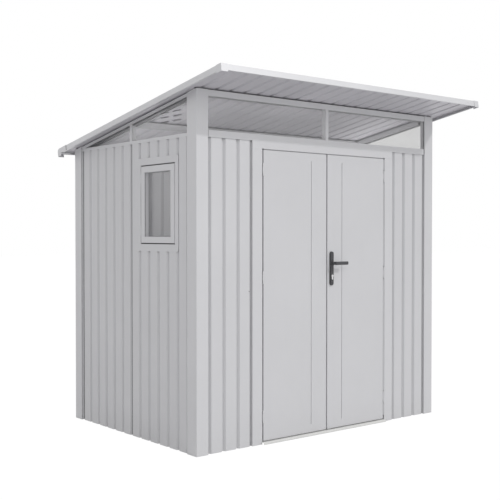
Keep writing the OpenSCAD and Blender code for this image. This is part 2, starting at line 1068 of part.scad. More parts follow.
// cap over a rear roof corner: round top, arm along the side trim and leg below
module rear_cap() {
  low = trim_z0 - cap_rear_drop;
  high = trim_z1 + seam;
  difference() {
    along_x(-out_t, cap_len - out_t)
      difference() {
        union() {
          translate([-out_t, low])
            square([cap_leg, cap_z1 - low]);
          translate([-out_t, trim_z0])
            square([cap_arm, cap_z1 - trim_z0]);
        }
        off_corner(-out_t, cap_z1, cap_r);
      }
    along_x(-seam, cap_len)
      difference() {
        translate([-seam, low - fold_t])
          square([cap_arm, high - low + fold_t]);
        off_corner(-seam, high, cap_r - fold_t);
      }
  }
}

module roof_corner_caps() {
  stand() color(trim_grey)
    on_slope() {
      translate([trim_x0, trim_y0, 0])
        front_cap();
      translate([trim_x1, trim_y0, 0])
        mirror([1, 0, 0])
          front_cap();
      translate([trim_x0, trim_y1, 0])
        mirror([0, 1, 0])
          rear_cap();
      translate([trim_x1, trim_y1, 0])
        mirror([1, 0, 0])
          mirror([0, 1, 0])
            rear_cap();
    }
}

// rectangle with round corners
module round_plate(width, height, r) {
  translate([r, 0])
    square([width - 2 * r, height]);
  translate([0, r])
    square([width, height - 2 * r]);
  for (x = [r, width - r])
    for (y = [r, height - r])
      translate([x, y])
        circle(r);
}

// push a shape drawn along the wall and upwards into the left wall
module into_wall(x, deep) {
  translate([x, 0, 0])
    rotate([90, 0, 90])
      linear_extrude(deep)
        children();
}

// rectangular ring
module ring(y, z, width, height, edge) {
  difference() {
    translate([y, z])
      square([width, height]);
    translate([y + edge, z + edge])
      square([width - 2 * edge, height - 2 * edge]);
  }
}

// flat surround with a lining round the opening and a stop behind the sash
module window_surround() {
  lining_y = hole_y - fold_t;
  lining_z = hole_z - fold_t;
  lining_w = hole_w + 2 * fold_t;
  lining_h = hole_h + 2 * fold_t;
  stand() color(wall_grey) {
    into_wall(rail_face, fold_t)
      difference() {
        translate([sash_y - surround_side, sash_z - surround_end])
          round_plate(sash_w + 2 * surround_side, sash_h + 2 * surround_end, surround_r);
        translate([hole_y, hole_z])
          square([hole_w, hole_h]);
      }
    into_wall(rail_face, stop_x + fold_t - rail_face)
      ring(lining_y, lining_z, lining_w, lining_h, fold_t);
    into_wall(stop_x, fold_t)
      ring(lining_y, lining_z, lining_w, lining_h, sash_stop + fold_t);
  }
}

// folded sash frame, open at the back
module window_sash() {
  inner_w = sash_w - 2 * fold_t;
  inner_h = sash_h - 2 * fold_t;
  stand() color(trim_grey)
    difference() {
      into_wall(sash_x, sash_deep)
        ring(sash_y, sash_z, sash_w, sash_h, sash_frame);
      into_wall(sash_x + fold_t, sash_deep)
        ring(sash_y + fold_t, sash_z + fold_t, inner_w, inner_h, sash_frame - 2 * fold_t);
    }
}

module window_glass() {
  edge = sash_frame - glass_lap;
  stand() color(pane_clear)
    into_wall(glass_x, pane_t)
      translate([sash_y + edge, sash_z + edge])
        square([sash_w - 2 * edge, sash_h - 2 * edge]);
}

// knuckle with one strap on the sash and one on the lining
module window_hinge() {
  translate([0, sash_gap / 2, 0])
    cylinder(h = sash_hinge_h, r = sash_hinge_r);
  for (y = [0, sash_gap - sash_strap])
    translate([0, y, 0])
      cube([sash_strap_deep, sash_strap, sash_hinge_h]);
}

module window_hinges() {
  stand() color(trim_grey)
    for (z = [sash_z + sash_hinge_in, sash_z + sash_h - sash_hinge_in])
      translate([sash_x, sash_y + sash_w, z - sash_hinge_h / 2])
        window_hinge();
}

// strap and knuckle of a hinge, from the axis towards -x, z0 to z1
module hinge_part(z0, z1) {
  half = hinge_gap / 2;
  translate([0, 0, z0]) {
    cylinder(h = z1 - z0, r = knuckle_r);
    translate([-half, 0, 0])
      cube([half, strap_t, z1 - z0]);
    translate([-half, 0, 0])
      cube([strap_t, strap_deep, z1 - z0]);
  }
}

// frame side of the hinges of one leaf, with the pins
module frame_hinge_set() {
  for (z = hinge_z)
    translate([axis_x, leaf_set, z]) {
      hinge_part(-hinge_h / 2, -hinge_h / 2 + hinge_end);
      hinge_part(hinge_h / 2 - hinge_end, hinge_h / 2);
      translate([0, 0, -hinge_h / 2])
        cylinder(h = hinge_h, r = pin_r);
    }
}

module frame_hinges() {
  stand() color(trim_grey) {
    frame_hinge_set();
    other_side()
      frame_hinge_set();
  }
}

// leaf side of the hinges of the left leaf, bored for the pins
module leaf_hinge_set() {
  for (z = hinge_z)
    translate([axis_x, leaf_set, z])
      difference() {
        mirror([1, 0, 0])
          hinge_part(-hinge_mid / 2, hinge_mid / 2);
        translate([0, 0, -hinge_mid])
          cylinder(h = 2 * hinge_mid, r = pin_r + pin_play);
      }
}

module left_leaf_hinges() {
  stand() color(trim_grey)
    leaf_hinge_set();
}

module right_leaf_hinges() {
  stand() color(trim_grey)
    other_side()
      leaf_hinge_set();
}

// left leaf: folded pan with a rear lip all round and one pressed line
module leaf() {
  x0 = door_x0 + hinge_gap;
  height = leaf_z1 - leaf_z0;
  line_x = x0 + leaf_w - crease_in - crease_w / 2;
  line_z = leaf_z0 + crease_end;
  line_h = height - 2 * crease_end;
  difference() {
    translate([x0, leaf_set, leaf_z0])
      cube([leaf_w, leaf_t, height]);
    translate([x0 + fold_t, leaf_set + fold_t, leaf_z0 + fold_t])
      cube([leaf_w - 2 * fold_t, leaf_t - 2 * fold_t, height - 2 * fold_t]);
    translate([x0 + leaf_lip, leaf_set + leaf_t / 2, leaf_z0 + leaf_lip])
      cube([leaf_w - 2 * leaf_lip, leaf_t, height - 2 * leaf_lip]);
    translate([line_x, leaf_set - fold_t, line_z])
      cube([crease_w, 2 * fold_t + crease_deep, line_h]);
  }
  difference() {
    translate([line_x - fold_t, leaf_set, line_z - fold_t])
      cube([crease_w + 2 * fold_t, crease_deep + fold_t, line_h + 2 * fold_t]);
    translate([line_x, leaf_set - fold_t, line_z])
      cube([crease_w, fold_t + crease_deep, line_h]);
  }
}

module left_door_leaf() {
  stand() color(wall_grey)
    leaf();
}

module right_door_leaf() {
  stand() color(wall_grey)
    difference() {
      other_side()
        leaf();
      translate([lever_x, leaf_set, lever_z])
        rotate([-90, 0, 0])
          cylinder(h = 4 * fold_t, r = spindle_r + spindle_gap, center = true);
    }
}

// long handle plate with round ends, bored for the spindle
module handle_plate() {
  r = plate_w / 2;
  stand() color(handle_grey)
    difference() {
      translate([lever_x, leaf_set, plate_z])
        rotate([90, 0, 0])
          linear_extrude(plate_t)
            union() {
              translate([-r, r])
                square([plate_w, plate_h - plate_w]);
              translate([0, r])
                circle(r);
              translate([0, plate_h - r])
                circle(r);
            }
      translate([lever_x, leaf_set + plate_t, lever_z])
        rotate([90, 0, 0])
          cylinder(h = 3 * plate_t, r = spindle_r + pin_play);
    }
}

// key cylinder in its usual keyhole outline
module key_cylinder() {
  stand() color(key_silver)
    translate([lever_x, plate_y, plate_z + key_up])
      rotate([90, 0, 0])
        linear_extrude(key_out)
          union() {
            circle(key_r);
            translate([-key_w / 2, key_w / 2 - key_drop])
              square([key_w, key_drop - key_w / 2]);
            translate([0, key_w / 2 - key_drop])
              circle(key_w / 2);
          }
}

// lever grip with round ends, its neck and its spindle
module lever() {
  r = lever_h / 2;
  stand() color(handle_grey)
    translate([lever_x, 0, lever_z]) {
      translate([0, grip_y + lever_t, 0])
        rotate([90, 0, 0])
          linear_extrude(lever_t)
            union() {
              circle(r);
              translate([0, -r])
                square([lever_len - r, lever_h]);
              translate([lever_len - r, 0])
                circle(r);
            }
      translate([0, plate_y - hinge_play, 0])
        rotate([90, 0, 0])
          cylinder(h = finger_gap, r = neck_r);
      translate([0, leaf_set + fold_t, 0])
        rotate([90, 0, 0])
          cylinder(h = leaf_set + fold_t - grip_y - lever_t / 2, r = spindle_r);
    }
}

base_rails();
front_left_post();
front_right_post();
rear_left_post();
rear_right_post();
front_left_panel();
front_right_panel();
left_window_panel();
left_rear_panel();
right_front_panel();
right_rear_panel();
back_left_panel();
back_middle_panel();
back_right_panel();
left_jamb();
right_jamb();
door_header();
threshold();
transom_rail();
front_top_rail();
rear_top_rail();
side_top_rails();
gable_rails();
roof_purlin();
glazing_bars();
front_panes();
left_gable_panes();
right_gable_panes();
roof_panels();
front_roof_trim();
rear_roof_trim();
side_roof_trims();
roof_corner_caps();
window_surround();
window_sash();
window_glass();
window_hinges();
frame_hinges();
left_door_leaf();
left_leaf_hinges();
right_door_leaf();
right_leaf_hinges();
handle_plate();
key_cylinder();
lever();
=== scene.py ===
"""Looks of a ribbed steel garden shed: materials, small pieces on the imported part, light and camera."""

import json
import math

import bmesh
import bpy
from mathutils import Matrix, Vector


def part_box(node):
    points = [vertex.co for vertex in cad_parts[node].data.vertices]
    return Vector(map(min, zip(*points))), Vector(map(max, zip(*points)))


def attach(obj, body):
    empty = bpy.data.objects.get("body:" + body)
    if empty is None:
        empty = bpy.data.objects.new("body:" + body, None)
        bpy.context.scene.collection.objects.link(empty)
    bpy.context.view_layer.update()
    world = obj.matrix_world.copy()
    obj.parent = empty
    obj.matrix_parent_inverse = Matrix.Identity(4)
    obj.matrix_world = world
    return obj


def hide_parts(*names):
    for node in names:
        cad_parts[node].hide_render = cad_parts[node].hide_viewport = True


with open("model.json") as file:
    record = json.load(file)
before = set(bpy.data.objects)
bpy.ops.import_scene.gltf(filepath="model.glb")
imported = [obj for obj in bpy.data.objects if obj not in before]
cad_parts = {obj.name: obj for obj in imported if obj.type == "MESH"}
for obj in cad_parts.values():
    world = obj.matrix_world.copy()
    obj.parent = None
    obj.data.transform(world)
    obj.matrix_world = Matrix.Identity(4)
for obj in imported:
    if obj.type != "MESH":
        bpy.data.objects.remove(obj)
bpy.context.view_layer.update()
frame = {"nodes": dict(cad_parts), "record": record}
nodes = frame["nodes"]
scene = bpy.context.scene


# Places, in millimetres from the outer foot of the front left post

X, Y, Z = Vector((1, 0, 0)), Vector((0, 1, 0)), Vector((0, 0, 1))
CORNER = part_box("front_left_post")[0]


def at(x, y, z):
    """A point of the shed in the frame of the part, in metres."""
    return Vector((CORNER.x + x / 1000, CORNER.y + y / 1000, z / 1000))


def place_of(node):
    """The lowest and highest corners of a CAD node, in millimetres."""
    return [(v - CORNER) * 1000 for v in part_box(node)]


SHED_W = place_of("front_right_post")[1].x
SHED_D = place_of("rear_left_post")[1].y
FRONT_H = place_of("front_left_post")[1].z
SLOPE = math.tan(math.radians(9.8))
SHEET_T = 0.8
FOLD_T = 1.2
HINGE_GAP = 11
HINGE_HEIGHTS = (158, 958, 1575)


def rail_z(y):
    """Height of the line on which the roof rails lie."""
    return FRONT_H - y * SLOPE


# Materials

DUST_COLOUR = (150, 145, 136)
DUST_HEIGHT_M = 0.16
# The part of a noise's range in which most of its values lie
NOISE_MIDDLE = (0.3, 0.7)
# Sockets of a mix node that mixes colours
MIX_FACTOR, MIX_A, MIX_B, MIX_RESULT = 0, 6, 7, 2


def linear(r, g, b):
    """A colour given as 0 to 255 in sRGB, as the linear colour that nodes take."""
    out = []
    for v in (r, g, b):
        v /= 255
        out.append(v / 12.92 if v <= 0.04045 else ((v + 0.055) / 1.055) ** 2.4)
    return (*out, 1)


def shade(colour, k):
    """A colour made k times as bright."""
    return (colour[0] * k, colour[1] * k, colour[2] * k, 1)


class Nodes:
    """The node tree of a material or a world, with a short way to add and join nodes."""

    def __init__(self, owner, output):
        owner.use_nodes = True
        self.owner = owner
        self.tree = owner.node_tree
        self.tree.nodes.clear()
        self.out = self.tree.nodes.new(output)

    def put(self, socket, value):
        """Join a socket to an output, or set its value."""
        if isinstance(value, bpy.types.NodeSocket):
            self.tree.links.new(value, socket)
        else:
            socket.default_value = value

    def add(self, kind, inputs=None, **props):
        """A node with its properties set and its inputs joined or set."""
        node = self.tree.nodes.new(kind)
        for name, value in props.items():
            setattr(node, name, value)
        for key, value in (inputs or {}).items():
            self.put(node.inputs[key], value)
        return node

    def spot(self):
        """The place on the object, in metres."""
        return self.add("ShaderNodeTexCoord").outputs["Object"]

    def stretched(self, scale):
        """The place on the object with each axis scaled by itself."""
        return self.add("ShaderNodeMapping", {"Vector": self.spot(), "Scale": scale}).outputs["Vector"]

    def noise(self, scale, detail, rough, vector=None):
        """Soft noise over the object, with scale in waves per metre."""
        inputs = {"Vector": vector or self.spot(), "Scale": scale, "Detail": detail, "Roughness": rough}
        return self.add("ShaderNodeTexNoise", inputs).outputs["Fac"]

    def ramp(self, fac, low, high):
        """A colour ramp between two stops, each (place, colour)."""
        node = self.add("ShaderNodeValToRGB", {"Fac": fac})
        for stop, (place, colour) in zip(node.color_ramp.elements, (low, high)):
            stop.position = place
            stop.color = colour
        return node.outputs["Color"]

    def spread(self, value, span, to):
        """A value in one span, taken evenly to another span."""
        inputs = {"Value": value, "From Min": span[0], "From Max": span[1], "To Min": to[0], "To Max": to[1]}
        return self.add("ShaderNodeMapRange", inputs).outputs["Result"]

    def mix(self, fac, a, b):
        """A colour between two colours."""
        inputs = {MIX_FACTOR: fac, MIX_A: a, MIX_B: b}
        return self.add("ShaderNodeMix", inputs, data_type="RGBA").outputs[MIX_RESULT]

    def math(self, operation, a, b):
        """A value worked out from two values."""
        return self.add("ShaderNodeMath", {0: a, 1: b}, operation=operation).outputs["Value"]

    def bump(self, height, strength, distance, normal=None):
        """A surface direction that follows a height, on top of another such direction."""
        inputs = {"Height": height, "Strength": strength, "Distance": distance}
        if normal is not None:
            inputs["Normal"] = normal
        return self.add("ShaderNodeBump", inputs).outputs["Normal"]

    def shown(self):
        """1 for the rays that show a background: straight, in a reflection or through a pane."""
        path = self.add("ShaderNodeLightPath").outputs
        mirrored = self.math("MAXIMUM", path["Is Camera Ray"], path["Is Glossy Ray"])
        return self.math("MAXIMUM", mirrored, path["Is Transmission Ray"])

    def blend(self, fac, a, b):
        """A shader between two shaders."""
        return self.add("ShaderNodeMixShader", {"Fac": fac, 1: a.outputs[0], 2: b.outputs[0]})

    def principled(self, inputs):
        """The owner, finished with one principled shader."""
        return self.finish(self.add("ShaderNodeBsdfPrincipled", inputs))

    def finish(self, shader):
        """The owner, with a shader on its surface."""
        self.tree.links.new(shader.outputs[0], self.out.inputs["Surface"])
        return self.owner


def material(name):
    """The empty node tree of a new material."""
    return Nodes(bpy.data.materials.new(name), "ShaderNodeOutputMaterial")


def painted(name, rgb, rough, metal, dust=0.1):
    """Powder-coated sheet with faint clouds and streaks, fine grain, slow waves and dust at the foot."""
    m = material(name)
    base = linear(*rgb)
    patches = m.noise(scale=2.1, detail=4, rough=0.6)
    clouds = m.ramp(patches, (0.3, shade(base, 0.982)), (0.7, shade(base, 1.014)))
    streaks = m.noise(scale=26, detail=3, rough=0.55, vector=m.stretched((1, 1, 0.05)))
    worn = m.mix(m.spread(streaks, (0.5, 0.8), to=(0, 0.12)), clouds, shade(base, 0.93))
    height = m.add("ShaderNodeSeparateXYZ", {"Vector": m.spot()}).outputs["Z"]
    near_ground = m.spread(height, (0, DUST_HEIGHT_M), to=(dust, 0))
    splash = m.math("MULTIPLY", near_ground, m.noise(scale=38, detail=5, rough=0.7))
    grain = m.bump(m.noise(scale=620, detail=2, rough=0.5), strength=0.12, distance=0.0002)
    waves = m.bump(m.noise(scale=3.4, detail=2, rough=0.4), strength=0.08, distance=0.004, normal=grain)
    sheen = m.noise(scale=11, detail=4, rough=0.6)
    return m.principled(
        {
            "Base Color": m.mix(splash, worn, linear(*DUST_COLOUR)),
            "Roughness": m.spread(sheen, NOISE_MIDDLE, to=(rough - 0.05, rough + 0.06)),
            "Normal": waves,
            "Metallic": metal,
        }
    )


def moulded(name, rgb, rough):
    """Dark moulded plastic with a fine grain and patches rubbed a little paler."""
    m = material(name)
    base = linear(*rgb)
    specks = m.noise(scale=180, detail=4, rough=0.65)
    mottle = m.ramp(specks, (0.3, shade(base, 0.86)), (0.72, shade(base, 1.18)))
    rub = m.spread(m.noise(scale=34, detail=5, rough=0.7), (0.58, 0.75), to=(0, 0.35))
    sheen = m.noise(scale=90, detail=3, rough=0.6)
    return m.principled(
        {
            "Base Color": m.mix(rub, mottle, shade(base, 1.7)),
            "Roughness": m.spread(sheen, NOISE_MIDDLE, to=(rough - 0.06, rough + 0.08)),
            "Normal": m.bump(m.noise(scale=2400, detail=2, rough=0.6), strength=0.35, distance=0.00012),
            "Specular IOR Level": 0.45,
        }
    )


def brushed(name, rgb, rough, metal, along=(0.02, 1, 1)):
    """Bare metal with fine brush lines along the axis that along scales down, and faint stains."""
    m = material(name)
    base = linear(*rgb)
    lines = m.noise(scale=900, detail=3, rough=0.6, vector=m.stretched(along))
    colour = m.ramp(lines, (0.25, shade(base, 0.9)), (0.75, shade(base, 1.06)))
    stains = m.spread(m.noise(scale=14, detail=5, rough=0.65), (0.52, 0.8), to=(0, 0.4))
    return m.principled(
        {
            "Base Color": m.mix(stains, colour, shade(base, 0.82)),
            "Metallic": metal,
            "Roughness": m.spread(lines, (0.2, 0.8), to=(rough - 0.06, rough + 0.1)),
            "Normal": m.bump(lines, strength=0.15, distance=0.0001),
        }
    )


def rubber(name, rgb):
    """Sealing rubber, dull and slightly dusty."""
    m = material(name)
    dust = m.spread(m.noise(scale=70, detail=5, rough=0.7), (0.45, 0.8), to=(0, 0.3))
    sheen = m.noise(scale=130, detail=3, rough=0.6)
    return m.principled(
        {
            "Base Color": m.mix(dust, linear(*rgb), linear(150, 150, 148)),
            "Roughness": m.spread(sheen, NOISE_MIDDLE, to=(0.62, 0.82)),
            "Normal": m.bump(m.noise(scale=900, detail=3, rough=0.6), strength=0.25, distance=0.0002),
            "Specular IOR Level": 0.3,
        }
    )


def clear(name, rgb, haze):
    """Clear plastic sheet with a mirror sheen at low angles and a faint uneven film of dust."""
    m = material(name)
    through = m.add("ShaderNodeBsdfTransparent", {"Color": linear(*rgb)})
    smooth = m.spread(m.noise(scale=9, detail=4, rough=0.6), NOISE_MIDDLE, to=(0.02, 0.08))
    gloss = m.add("ShaderNodeBsdfGlossy", {"Color": (1, 1, 1, 1), "Roughness": smooth})
    waves = m.bump(m.noise(scale=2.6, detail=2, rough=0.4), strength=0.1, distance=0.003)
    facing = m.add("ShaderNodeLayerWeight", {"Blend": 0.15, "Normal": waves}).outputs["Facing"]
    pane = m.blend(m.spread(facing, (0, 1), to=(0.012, 0.18)), through, gloss)
    film = m.add("ShaderNodeBsdfDiffuse", {"Color": linear(222, 222, 220)})
    clouds = m.noise(scale=5, detail=6, rough=0.65)
    dusty = m.spread(clouds, (0.35, 0.75), to=(haze * 0.5, haze * 1.6))
    return m.finish(m.blend(dusty, pane, film))


mats = {
    "wall_sheet": painted("wall_paint", (203, 203, 205), rough=0.46, metal=0.06),
    "frame_grey": painted("frame_paint", (205, 205, 207), rough=0.44, metal=0.08),
    "trim_grey": painted("trim_paint", (205, 205, 207), rough=0.43, metal=0.4, dust=0),
    "roof_sheet": painted("roof_paint", (194, 192, 197), rough=0.46, metal=0.06, dust=0),
    "clear_sheet": clear("clear_sheet", (243, 243, 243), haze=0.03),
    "threshold_metal": brushed("threshold_metal", (212, 212, 210), rough=0.42, metal=0.2),
    "handle_dark": moulded("handle_plastic", (66, 66, 69), rough=0.42),
    "key_steel": brushed("key_steel", (232, 232, 232), rough=0.4, metal=0.3, along=(1, 1, 0.02)),
}
# Rubbers for seals and joints. The dark one also paints the shadow in several gaps and slots, and the grey
# one the shade under the side overhangs.
seal_mat = rubber("seal_rubber", (84, 84, 86))
pale_seal = rubber("pale_seal", (150, 150, 152))
screw_mat = brushed("screw_zinc", (150, 150, 150), rough=0.4, metal=0.6)

for subpart in frame["record"]["subparts"]:
    slots = nodes[subpart["node"]].data.materials
    slots.clear()
    slots.append(mats[subpart["material_slot"]])


# Ways to make a piece

# Half-round section of a strip: place across its width, and height, as shares
STRIP_SECTION = ((-0.5, 0), (-0.46, 0.6), (-0.25, 0.95), (0.25, 0.95), (0.46, 0.6), (0.5, 0))
# Rings of a pan head from its back to the floor of its recess: radius and height as shares, 1 if crossed
SCREW_RINGS = ((1, 0, 0), (0.98, 0.22, 0), (0.86, 0.4, 0), (0.62, 0.5, 0), (0.44, 0.53, 1), (0.4, 0.22, 1))
CROSS_ARM = 13
CROSS_WAIST = 0.36


def piece(name, bm, mat, body):
    """A mesh made in the frame of the part that rides on a body."""
    bmesh.ops.recalc_face_normals(bm, faces=bm.faces)
    mesh = bpy.data.meshes.new(name)
    bm.to_mesh(mesh)
    bm.free()
    obj = bpy.data.objects.new(name, mesh)
    scene.collection.objects.link(obj)
    mesh.materials.append(mat)
    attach(obj, body)
    return obj


def add_rings(bm, rings, foot=True, head=True):
    """A skin over rings with as many points each, closed at its foot and its head."""
    made = [[bm.verts.new(p) for p in ring] for ring in rings]
    n = len(made[0])
    for low, high in zip(made, made[1:]):
        for i in range(n):
            j = (i + 1) % n
            bm.faces.new((low[i], low[j], high[j], high[i]))
    if foot:
        bm.faces.new(made[0])
    if head:
        bm.faces.new(made[-1])


def add_screw(bm, where, out, r):
    """A pan head with a cross recess, its back on the point where, facing out."""
    turn = Z.rotation_difference(out).to_matrix()
    rings = []
    for radius, height, crossed in SCREW_RINGS:
        ring = []
        for quarter in range(4):
            for degrees, waist in ((-CROSS_ARM, 1), (CROSS_ARM, 1), (45, CROSS_WAIST)):
                a = math.radians(90 * quarter + degrees)
                k = radius * (waist if crossed else 1)
                ring.append(where + turn @ Vector((k * math.cos(a), k * math.sin(a), height)) * (r / 1000))
        rings.append(ring)
    add_rings(bm, rings, foot=False)


def strips(name, lines, mat, body):
    """One piece of straight half-round strips with their backs on lines (start, end, out, width, height)."""
    bm = bmesh.new()
    for start, end, out, wide, high in lines:
        across = (at(*end) - at(*start)).normalized().cross(out)
        section = [across * (a * wide / 1000) + out * (b * high / 1000) for a, b in STRIP_SECTION]
        add_rings(bm, [[at(*p) + offset for offset in section] for p in (start, end)])
    return piece(name, bm, mat, body)


def along_x(x0, x1, y, z, out, wide, high):
    """The line of a strip that runs along the front."""
    return (x0, y, z), (x1, y, z), out, wide, high


def along_y(x, y0, y1, z, out, wide, high):
    """The line of a strip that runs along the side."""
    return (x, y0, z), (x, y1, z), out, wide, high


def upright(x, y, z0, z1, out, wide, high):
    """The line of a strip that stands."""
    return (x, y, z0), (x, y, z1), out, wide, high


# Seals of the walls and the roof


def wall_seam_shade():
    """Dark strips that paint the shade in the grooves where two wall sheets meet, and the shadow gap beside
    the rear posts.
    """
    foot = 3
    head_room = 2
    low, high = place_of("left_rear_panel")
    top = high.z - head_room
    groove_x = high.x - SHEET_T
    seam_y = (low.y + place_of("left_window_panel")[1].y) / 2
    lines = []
    for x, out in ((groove_x, -X), (SHED_W - groove_x, X)):
        lines.append(upright(x, seam_y, foot, top, out, wide=6, high=8))
    low, high = place_of("back_middle_panel")
    left_seam = (low.x + place_of("back_left_panel")[1].x) / 2
    right_seam = (high.x + place_of("back_right_panel")[0].x) / 2
    for x in (left_seam, right_seam):
        lines.append(upright(x, low.y + SHEET_T, foot, high.z - head_room, Y, wide=5, high=3))
    post_x = 17
    before_post = 5
    post_y = place_of("rear_left_post")[0].y - before_post
    for x, out in ((post_x, -X), (SHED_W - post_x, X)):
        lines.append(upright(x, post_y, foot, top, out, wide=4, high=2))
    strips("wall_seam_shade", lines, seal_mat, "shed")


def roof_foam_shade():
    """Foam between the roof sheets and the front and rear top rails, dark to paint the shadow in the gap
    there.
    """
    inset = 17
    end = 2
    lift = 0.4
    lines = []
    for y in (inset, SHED_D - inset):
        lines.append(along_x(end, SHED_W - end, y, rail_z(y) + lift, Z, wide=14, high=7.4))
    strips("roof_foam_shade", lines, seal_mat, "shed")


def vent_screens():
    """Insect screens behind the six vents: one wire along each slot and nine across it."""
    columns, rows, wires = 2, 3, 9
    vent_w, vent_h = 80, 7
    column_step, row_step, wire_step = 122, 26.5, 9
    from_post = 70
    above_sill = 75.8
    behind = 1.4
    first_wire = 4
    overlap = 2
    low, high = place_of("left_gable_panes")
    x = high.x + behind
    lines = []
    for column in range(columns):
        y = place_of("front_left_post")[1].y + from_post + column_step * column
        for row in range(rows):
            z = low.z + above_sill + row_step * row
            lines.append(along_y(x, y, y + vent_w, z + vent_h / 2, -X, wide=3.2, high=1.2))
            for wire in range(wires):
                wire_y = y + first_wire + wire_step * wire
                lines.append(upright(x, wire_y, z - overlap, z + vent_h + overlap, -X, wide=1.2, high=1))
    strips("vent_screens", lines, seal_mat, "shed")


# Side window

SASH_GAP = 7
SASH_STRIP_X = 15


def window_glazing():
    """Gasket on the glass, and the joint line all round inside the glazing bead."""
    rim = 9
    low, high = place_of("window_glass")
    y0, y1 = low.y + rim, high.y - rim
    z0, z1 = low.z + rim, high.z - rim
    gasket_x = low.x - 0.2
    size = {"wide": 3.4, "high": 2.4}
    half = size["wide"] / 2
    gasket = [
        upright(gasket_x, y0 + half, z0, z1, -X, **size),
        upright(gasket_x, y1 - half, z0, z1, -X, **size),
        along_y(gasket_x, y0, y1, z0 + half, -X, **size),
        along_y(gasket_x, y0, y1, z1 - half, -X, **size),
    ]
    strips("window_gasket", gasket, pale_seal, "shed")
    joint_x = 11
    size = {"wide": 2.4, "high": 0.7}
    joint = [
        upright(joint_x, y1, z0, z1, -Y, **size),
        upright(joint_x, y0, z0, z1, Y, **size),
        along_y(joint_x, y0, y1, z1, -Z, **size),
        along_y(joint_x, y0, y1, z0, Z, **size),
    ]
    strips("window_bead_joint", joint, seal_mat, "shed")


def sash_gap_shade():
    """Dark strips that paint the shadow in the gaps above and below the sash."""
    end = 5
    low, high = place_of("window_sash")
    lines = []
    for z in (low.z - SASH_GAP / 2, high.z + SASH_GAP / 2):
        lines.append(along_y(SASH_STRIP_X, low.y - end, high.y + end, z, -X, wide=6, high=5))
    strips("sash_gap_shade", lines, seal_mat, "shed")


def window_closers():
    """Strips that close the gap in front of the sash and the front edge of the surround."""
    low, high = place_of("window_sash")
    end = 3
    sash = upright(SASH_STRIP_X, low.y - SASH_GAP / 2, low.z - end, high.z + end, -X, wide=6.4, high=7.5)
    low, high = place_of("window_surround")
    end = 10
    edge_x = 12
    edge_y = low.y + 1.4
    edge = upright(edge_x, edge_y, low.z + end, high.z - end, -Y, wide=8.6, high=1.2)
    strips("window_closers", [sash, edge], mats["frame_grey"], "shed")


# Doorway


def jamb_closer():
    """Closing strip on the right jamb, with room for the hinges."""
    foot, top = 42, 1682
    half_room = 42
    back_y = 20
    axis_x = place_of("right_door_leaf")[1].x + HINGE_GAP / 2
    starts = [foot] + [z + half_room for z in HINGE_HEIGHTS]
    ends = [z - half_room for z in HINGE_HEIGHTS] + [top]
    lines = [upright(axis_x, back_y, a, b, -Y, wide=9, high=16) for a, b in zip(starts, ends)]
    strips("jamb_closer", lines, mats["frame_grey"], "shed")


def header_strip():
    """Brush strip under the header, over both leaves."""
    end = 1
    top_gap = 7
    behind_face = 3
    low, high = place_of("left_door_leaf")
    right_x = place_of("right_door_leaf")[1].x
    y, z = low.y + behind_face, high.z + top_gap
    line = along_x(low.x + end, right_x - end, y, z, -Z, wide=8, high=4)
    strips("header_strip", [line], mats["frame_grey"], "shed")


def sweep(side):
    """Sweep under a leaf, which swings with it."""
    end = 1
    behind_face = 4.5
    low, high = place_of(side + "_door_leaf")
    line = along_x(low.x + end, high.x - end, low.y + behind_face, low.z, -Z, wide=8, high=3.2)
    strips(side + "_sweep", [line], mats["wall_sheet"], side + "_door")


def hinge_gap_shade():
    """Dark strips that paint the shadow in the gaps between the left jamb and its hinges, narrower beside
    the knuckles that turn.
    """
    half_hinge = 35
    half_knuckle = 16
    fixed = {"beside": 3.85, "wide": 3.1}
    turning = {"beside": 4.85, "wide": 1.2}
    leaf = place_of("left_door_leaf")[0]
    axis_x = leaf.x - HINGE_GAP / 2
    lines = []
    for z in HINGE_HEIGHTS:
        for low, high, gap in (
            (-half_hinge, -half_knuckle, fixed),
            (-half_knuckle, half_knuckle, turning),
            (half_knuckle, half_hinge, fixed),
        ):
            x = axis_x - gap["beside"]
            lines.append(upright(x, leaf.y, z + low, z + high, -Y, gap["wide"], high=4.4))
    strips("hinge_gap_shade", lines, seal_mat, "shed")


# Joints and closing strips of the frame


def rail_joint_shade():
    """Dark strips that paint the shadow gap at the joints between the front glazing rail and the posts."""
    inset = 2.6
    low, high = place_of("transom_rail")
    foot, top = high.z - 36, high.z - 1
    left_x = place_of("front_left_post")[1].x + inset
    right_x = place_of("front_right_post")[0].x - inset
    lines = [upright(x, low.y, foot, top, -Y, wide=5, high=0.6) for x in (left_x, right_x)]
    strips("rail_joint_shade", lines, seal_mat, "shed")


def cap_joints():
    """Joints where the rear corner caps lap the side trims, found from the ends of the caps."""
    wide, high = 3.6, 1.4
    sunk = 1.2
    before = 1.4
    same_face = 0.05
    same_edge = 0.5
    caps = [(v.co - CORNER) * 1000 for v in nodes["roof_corner_caps"].data.vertices]
    downhill = (Y - Z * SLOPE).normalized()
    lines = []
    for x, out in ((min(p.x for p in caps), -X), (max(p.x for p in caps), X)):
        side = [p for p in caps if abs(p.x - x) < same_face and p.y > SHED_D / 2]
        end = min(p.dot(downhill) for p in side)
        edge = sorted((p for p in side if p.dot(downhill) < end + same_edge), key=lambda p: p.z)
        foot, top = (p - downhill * before - out * sunk for p in (edge[0], edge[-1]))
        lines.append((foot, top, out, wide, high))
    strips("cap_joints", lines, seal_mat, "shed")


